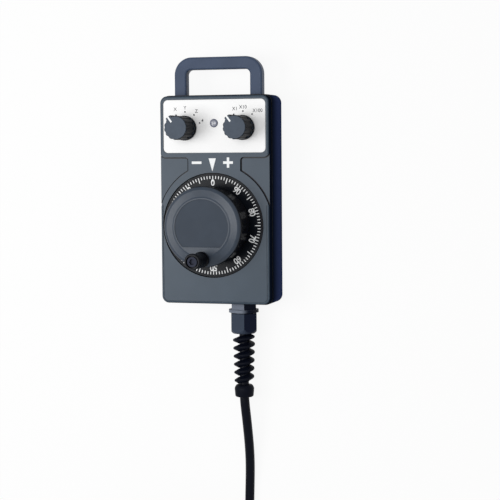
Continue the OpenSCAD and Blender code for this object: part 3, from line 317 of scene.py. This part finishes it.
def housing_finish(name, face, side, painted_shade):
    """Satin slate face with grooves in painted shade, and matt navy sides with painted shade that runs from nearly
    black at the face to navy at the back, and deepens again at the foot."""
    f = Finish(name)
    up = f.axis("Normal", "Z").between(0.45, 0.85)
    height = f.axis("Object", "Z")
    shaded_flank = side
    # Painted shade on the sides: nearly black towards the face and towards the foot.
    for start, end in (SIDE_SHADE_HEIGHTS, FOOT_SHADE_HEIGHTS):
        shaded_flank = f.mix(height.between(start * MM, end * MM), shaded_flank, painted_shade)
    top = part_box("front_shell")[1].z
    # Painted shade in the grooves, filled with a deeper copy of the shade colour.
    groove_shade = height.between(*(top - depth * MM for depth in GROOVE_SHADE_DEPTHS))
    face_colour = f.mix(groove_shade, f.mottled(face, 0.05, 22), tinted(painted_shade, 0.3))
    return f.surface(f.mix(up, shaded_flank, face_colour), 0.5 + 0.1 * f.noise(9),
                     f.relief(f.noise(0.4), depth=0.02, edge=0.3), Specular_IOR_Level=0.0,
                     Coat_Weight=0.4 * up, Coat_Roughness=0.3)


ALONG_Z, ALONG_Y, EVEN = (1, 1, 0.05), (1, 0.05, 1), (1, 1, 1)


def metal(name, colour, roughness, size=0.25, stretch=ALONG_Z, depth=0.01):
    """Bare or plated metal with fine tool marks, drawn out along an axis or even."""
    f = Finish(name)
    marks = f.noise(size, roughness=0.6, stretch=stretch)
    return f.surface(f.mottled(colour, 0.06, 3), roughness - 0.08 + 0.16 * marks,
                     f.relief(marks, depth, strength=0.4), Metallic=1.0)


def ink(name, colour):
    """Screen print: nearly even, with a slightly uneven edge and gloss."""
    f = Finish(name)
    return f.surface(f.mottled(colour, 0.04, 0.6), 0.45 + 0.1 * f.noise(0.4),
                     f.relief(f.noise(0.2), depth=0.01, strength=0.3), Specular_IOR_Level=0.2)


def two_tone(name, face, side, face_rough, side_rough, polish, sheen, turn=(0.6, 0.9)):
    """An end face in a pale, lit copy of the plastic's colour, as painted sheen, and a side in a near-black shaded
    copy, as painted shade; the face carries a satin coat and the side a polished one. turn gives the slopes
    between which one becomes the other."""
    f = Finish(name)
    # Painted light: faces that look up get the painted sheen, the others the painted shade.
    up = f.axis("Normal", "Z").between(*turn)
    return f.surface(f.mix(up, side, f.mottled(face, 0.06, 5)),
                     side_rough + (face_rough - side_rough) * up + 0.06 * f.noise(2),
                     f.relief(f.noise(0.3), depth=0.012, strength=0.5, edge=0.3),
                     Coat_Weight=polish + (sheen - polish) * up, Coat_Roughness=0.28,
                     Specular_IOR_Level=0.02)


def six_sided(name, lit, shaded_colour):
    """Moulded flats in painted light: flats that face +X carry a shaded copy of the colour as painted shade, and
    the others a paler lit copy.
    """
    f = Finish(name)
    # Painted shade on the flats that face +X.
    shaded_side = f.axis("Normal", "X").between(0.1, 0.6)
    return f.surface(f.mix(shaded_side, f.mottled(lit, 0.05, 14), shaded_colour), 0.35 + 0.1 * f.noise(9),
                     f.relief(f.noise(0.35), depth=0.03, edge=0.25), Specular_IOR_Level=0.06)


def rubber(name, colour, roughness=0.55, shine=0.2):
    """Rubber or soft plastic with a faintly uneven skin."""
    f = Finish(name)
    return f.surface(f.mottled(colour, 0.15, 3), roughness - 0.08 + 0.16 * f.noise(2, detail=3),
                     f.relief(f.noise(0.5, detail=3), depth=0.03, strength=0.5),
                     Specular_IOR_Level=shine)


def glass_like(name, colour, roughness, alpha):
    """A clear or frosted plastic with a polished coat."""
    f = Finish(name)
    return f.surface(f.mottled(colour, 0.05, 1.5), roughness + 0.1 * f.noise(1),
                     f.relief(f.noise(0.6), depth=0.01, strength=0.3), Alpha=alpha,
                     Coat_Weight=0.6)


def woven(name, colour):
    """Hook and loop tape: short loops on a woven ground."""
    f = Finish(name)
    loops = f.noise(0.6, detail=4, roughness=0.7)
    return f.surface(f.mix(loops, tinted(colour, 0.6), tinted(colour, 1.5)), 0.9,
                     f.relief(loops, depth=0.25, strength=0.8))


# The near-black colour of the painted shade on the housing's sides and in its grooves.
PAINTED_SHADE = shade(12, 19, 32)
FINISHES = {
    "front_grey": housing_finish("slate_front", shade(58, 71, 84), shade(24, 35, 59), PAINTED_SHADE),
    "rear_blue": housing_finish("navy_back", shade(28, 36, 60), shade(46, 57, 94), PAINTED_SHADE),
    "handle_grey": moulded("handle_slate", shade(64, 76, 98), 0.4, edge=0.5, shine=0.12),
    "plate_white": moulded("plate_white", shade(254, 254, 254), depth=0.004, mottle=0.006,
                           shine=0.02),
    "print_black": ink("dark_print", shade(30, 33, 40)),
    "print_white": ink("white_print", shade(244, 246, 247)),
    "lamp_body": metal("lamp_ring", shade(80, 82, 94), 0.5),
    "lamp_lens": glass_like("lamp_lens", shade(140, 143, 155), 0.3, alpha=1.0),
    "steel": metal("zinc_plate", shade(176, 178, 182), 0.35),
    "dark_steel": metal("black_steel", shade(62, 64, 68), 0.45),
    "switch_black": moulded("phenolic", shade(24, 25, 28)),
    "wafer_brown": moulded("wafer_laminate", shade(150, 100, 58), 0.6, mottle=0.12),
    # The selectors, the handwheel and the spinner: their paler end faces are painted sheen, and their near-black
    # sides are painted shade.
    "knob_grey": two_tone("selector_black", shade(64, 74, 87), shade(10, 14, 21),
                          face_rough=0.45, side_rough=0.35, polish=0.04, sheen=0.2),
    "dial_black": moulded("dial_black", shade(12, 16, 23), 0.2, depth=0.004, mottle=0.1,
                          shine=0.08),
    "wheel_black": two_tone("wheel_black", shade(48, 58, 71), shade(2, 4, 11),
                            face_rough=0.45, side_rough=0.25, polish=0.05, sheen=0.5,
                            turn=(0.3, 0.65)),
    "cap_grey": moulded("cap_slate", shade(50, 59, 71), 0.36, depth=0.01, shine=0.1),
    "spinner_black": two_tone("spinner_black", shade(18, 20, 26), shade(2, 3, 7),
                              face_rough=0.4, side_rough=0.3, polish=0.15, sheen=0.2),
    "axle_steel": metal("turned_steel", shade(34, 36, 44), 0.5),
    "encoder_metal": metal("die_cast", shade(186, 188, 190), 0.5, size=0.8, stretch=EVEN,
                           depth=0.03),
    "bearing_bronze": metal("sintered_bronze", shade(168, 118, 62), 0.45, size=0.3, stretch=EVEN,
                            depth=0.03),
    "disc_glass": glass_like("clear_disc", shade(190, 205, 215), 0.08, alpha=0.5),
    "board_green": moulded("board_green", shade(28, 92, 58), 0.4, mottle=0.1),
    "magnet_dark": metal("sintered_magnet", shade(60, 60, 64), 0.6, size=0.3, stretch=EVEN,
                         depth=0.03),
    # The flats of the gland and the nut: their paler lit copies and their shaded copies are both painted.
    "gland_grey": six_sided("gland_slate", shade(112, 119, 132), shade(10, 16, 32)),
    "nut_dark": six_sided("nut_slate", shade(54, 63, 78), shade(14, 21, 40)),
    "guard_black": rubber("guard_rubber", shade(6, 9, 20), 0.5, shine=0.06),
    "seal_black": rubber("seal_rubber", shade(20, 20, 22)),
    "wire_red": moulded("wire_red", shade(150, 32, 28), 0.35),
    "cord_black": rubber("cord_jacket", shade(5, 8, 19), 0.3, shine=0.08),
    "tie_grey": woven("tie_fabric", shade(46, 48, 54)),
    "connector_metal": metal("nickel_plate", shade(180, 183, 188), 0.25, size=0.4,
                             stretch=ALONG_Y),
    "insert_black": moulded("insert_black", shade(22, 23, 26)),
}


def dress_frame():
    """Gives every carried-over node its finish, by the record's slots."""
    for row in frame["record"]["subparts"]:
        mesh = frame["nodes"][row["node"]].data
        mesh.materials.clear()
        mesh.materials.append(FINISHES[row["material_slot"]])


def piece_from(name, made, material):
    """A new object from a bmesh, with its finish."""
    mesh = bpy.data.meshes.new(name)
    made.to_mesh(mesh)
    made.free()
    mesh.materials.append(material)
    return placed(name, mesh)


# ------------------------------------------------------------------ lettering

# The height of a capital of the built-in font, as a share of the font's size.
CAPITAL = 0.73
PRINT_T = 0.05

DIAL_LINES, NUMBER_EVERY = 100, 10
NUMBER_RADIUS, NUMBER_HEIGHT = 32.2, 4.8

# Each legend of the selectors, its distance from the knob's middle, and its clock angle.
LEGEND_HEIGHT = 2.7
LEGENDS = {
    "axis_select": (("0", 15.2, -72), ("X", 16.3, -28.6), ("Y", 15.3, 0), ("Z", 15.6, 35.6),
                    ("4", 14.8, 68)),
    "multiplier_select": (("X1", 15.6, -25), ("X10", 15.3, 0), ("X100", 16.9, 42)),
}


def mesh_of_text(text, bold):
    """A flat mesh of the text, 1 thick and about its own middle."""
    curve = bpy.data.curves.new("text", "FONT")
    curve.body = text
    curve.align_x, curve.align_y = "CENTER", "CENTER"
    curve.size = 1
    curve.offset = bold
    curve.extrude = 0.5
    holder = placed("text", curve)
    bpy.context.view_layer.update()
    mesh = bpy.data.meshes.new_from_object(holder)
    bpy.data.objects.remove(holder)
    xs, ys, _ = zip(*(v.co for v in mesh.vertices))
    mesh.transform(Matrix.Translation((-(min(xs) + max(xs)) / 2, -(min(ys) + max(ys)) / 2, 0)))
    return mesh


def lettering(name, rows, height, body, slot, bold, narrow):
    """One flat mesh of several words: each row is the text, its centre and its turn."""
    scale = height / CAPITAL * MM
    size = Matrix.Diagonal((scale * narrow, scale, PRINT_T * MM, 1))
    made = bmesh.new()
    for text, centre, turn in rows:
        mesh = mesh_of_text(text, bold)
        mesh.transform(Matrix.Translation(centre) @ turned(turn, "Z") @ size)
        made.from_mesh(mesh)
        bpy.data.meshes.remove(mesh)
    piece = piece_from(name, made, FINISHES[slot])
    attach(piece, body)


def on_circle(joint, under, radius, clock):
    """A point on top of a piece, on a circle about a joint, clockwise from +Y in degrees."""
    a = math.radians(clock)
    centre = joint_at[joint].copy()
    centre.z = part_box(under)[1].z
    return centre + Vector((radius * math.sin(a), radius * math.cos(a), 0)) * MM


def dial_numbers():
    """The dial's numbers, which run up anticlockwise and read from its rim."""
    rows = []
    for number in range(0, DIAL_LINES, NUMBER_EVERY):
        clock = (DIAL_LINES - number) * 360 / DIAL_LINES
        rows.append((str(number), on_circle("handwheel_spin", "dial_plate", NUMBER_RADIUS, clock),
                     -clock))
    lettering("dial_numbers", rows, NUMBER_HEIGHT, "handwheel", "print_white", 0.02, 0.9)


def selector_legends():
    """The words at the selectors' positions."""
    rows = [(word, on_circle(joint, "switch_plate", radius, clock), 0)
            for joint, words in LEGENDS.items() for word, radius, clock in words]
    lettering("selector_legends", rows, LEGEND_HEIGHT, "housing", "print_black", 0.006, 0.95)


# ------------------------------------------------------------------ bend guard

SPIRAL_LEN, SPIRAL_TURNS, SPIRAL_R, SPIRAL_END_R, COLLAR_LEN = 41, 5.75, 8.6, 7.5, 8
# The gap round the cord, and half the strip's foot and half its tip as shares of its pitch.
GUARD_GAP, FOOT_SHARE, TIP_SHARE = 0.55, 0.36, 0.12
# Outlines in one turn of the strip and round the collar.
SPIRAL_STEPS, COLLAR_SIDES = 36, 64
SHARP_ANGLE = 35


def ring_strip(made, rings, closed):
    """Joins rows of points, each an outline of the same length, into a skin."""
    rows = [[made.verts.new(p) for p in ring] for ring in rings]
    count = len(rows[0])
    for first, second in zip(rows, rows[1:] + rows[:1] if closed else rows[1:]):
        for k in range(count):
            made.faces.new((first[k], first[(k + 1) % count], second[(k + 1) % count], second[k]))
    if not closed:
        made.faces.new(rows[0][::-1])
        made.faces.new(rows[-1])


def about_cord(radius, angle, depth):
    """A point by its distance and angle about the cord and its depth from the gland."""
    return Vector((radius * math.cos(angle), -depth, radius * math.sin(angle))) * MM


def spiral_rings(inner):
    """The outlines of the wound strip, each a foot that narrows to a rounded tip."""
    pitch = SPIRAL_LEN / SPIRAL_TURNS
    foot, tip = FOOT_SHARE * pitch, TIP_SHARE * pitch
    count = round(SPIRAL_TURNS * SPIRAL_STEPS)
    for i in range(count + 1):
        part = i / count
        outer = SPIRAL_R + (SPIRAL_END_R - SPIRAL_R) * part
        middle = foot + part * (SPIRAL_LEN - 2 * foot)
        half = [(inner, foot), (inner + 0.5, foot), (inner + 1, 0.86 * foot),
                (outer - 1, 1.5 * tip), (outer - 0.3, tip), (outer, 0.4 * tip)]
        section = [(r, -d) for r, d in half] + half[::-1]
        angle = 2 * math.pi * SPIRAL_TURNS * part
        yield [about_cord(r, angle, middle + d) for r, d in section]


def collar_rings(inner):
    """The outlines of the collar that the strip ends in."""
    r = SPIRAL_END_R
    section = [(inner - 0.3, -1.2), (r - 1.6, -1.2), (r - 1, -0.7), (r - 0.2, 0.9), (r, 1.6),
               (r - 0.1, 3), (r - 0.45, COLLAR_LEN - 1), (r - 0.7, COLLAR_LEN - 0.35),
               (r - 1.2, COLLAR_LEN), (inner - 0.3, COLLAR_LEN)]
    for k in range(COLLAR_SIDES):
        angle = 2 * math.pi * k / COLLAR_SIDES
        yield [about_cord(radius, angle, SPIRAL_LEN + d) for radius, d in section]


def make_guard():
    """A rubber strip wound round the cord, and the collar that it ends in."""
    inner = CORD_D / 2 + GUARD_GAP
    made = bmesh.new()
    ring_strip(made, spiral_rings(inner), closed=False)
    ring_strip(made, collar_rings(inner), closed=True)
    gland_end = Vector((LEAD[0][0] * MM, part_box("bend_guard")[1].y, LEAD[0][2] * MM))
    bmesh.ops.translate(made, verts=made.verts, vec=gland_end)
    bmesh.ops.recalc_face_normals(made, faces=made.faces)
    guard = piece_from("bend_guard_rubber", made, FINISHES["guard_black"])
    guard.data.polygons.foreach_set("use_smooth", [True] * len(guard.data.polygons))
    guard.data.set_sharp_from_angle(angle=math.radians(SHARP_ANGLE))
    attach(guard, "housing")
    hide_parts("bend_guard")


# ------------------------------------------------------------------ room and light

PAPER = (0.86, 0.86, 0.86, 1)
FLOOR_HALF, FLOOR_DROP = 4, 0.0002
# How much of the floor's look is plain white, and the surround's strength as a light.
FLOOR_GLOW, SURROUND = 0.9, 0.36


def light(name, place, size, power):
    """A round soft light that looks at the middle of the housing."""
    data = bpy.data.lights.new(name, "AREA")
    data.shape = "DISK"
    data.size = size
    data.energy = power
    lamp = placed(name, data)
    lamp.location = place
    aim = Vector((0, 0, 0.02)) - lamp.location
    lamp.rotation_euler = aim.to_track_quat("-Z", "Y").to_euler()


def set_room():
    """A pale floor, a white surround, and soft light from the left and from above."""
    f = Finish("pale_floor")
    paper = f.node("ShaderNodeBsdfDiffuse", {}, {"Color": f.mottled(PAPER, 0.004, 300)})
    glow = f.node("ShaderNodeEmission", {}, {"Strength": 1.0})
    f.finished(f.node("ShaderNodeMixShader", {}, {0: FLOOR_GLOW * f.seen(), 1: paper, 2: glow}))
    made = bmesh.new()
    bmesh.ops.create_grid(made, x_segments=1, y_segments=1, size=FLOOR_HALF)
    bmesh.ops.translate(made, verts=made.verts, vec=(0, 0, cad_box[0].z - FLOOR_DROP))
    piece_from("floor", made, f.material)

    room = Finish("room", bpy.data.worlds, "ShaderNodeOutputWorld")
    bpy.context.scene.world = room.finished(room.node("ShaderNodeBackground", {}, {
        "Color": (1, 1, 1, 1), "Strength": SURROUND + (1 - SURROUND) * room.seen()}))

    light("key", place=(-0.46, -0.02, 0.8), size=0.5, power=3.4)
    light("top", place=(0, 0.1, 1.5), size=0.7, power=7.3)


set_camera()
make_cord()
dress_frame()
make_guard()
dial_numbers()
selector_legends()
set_room()
bpy.context.scene.view_settings.view_transform = "Standard"
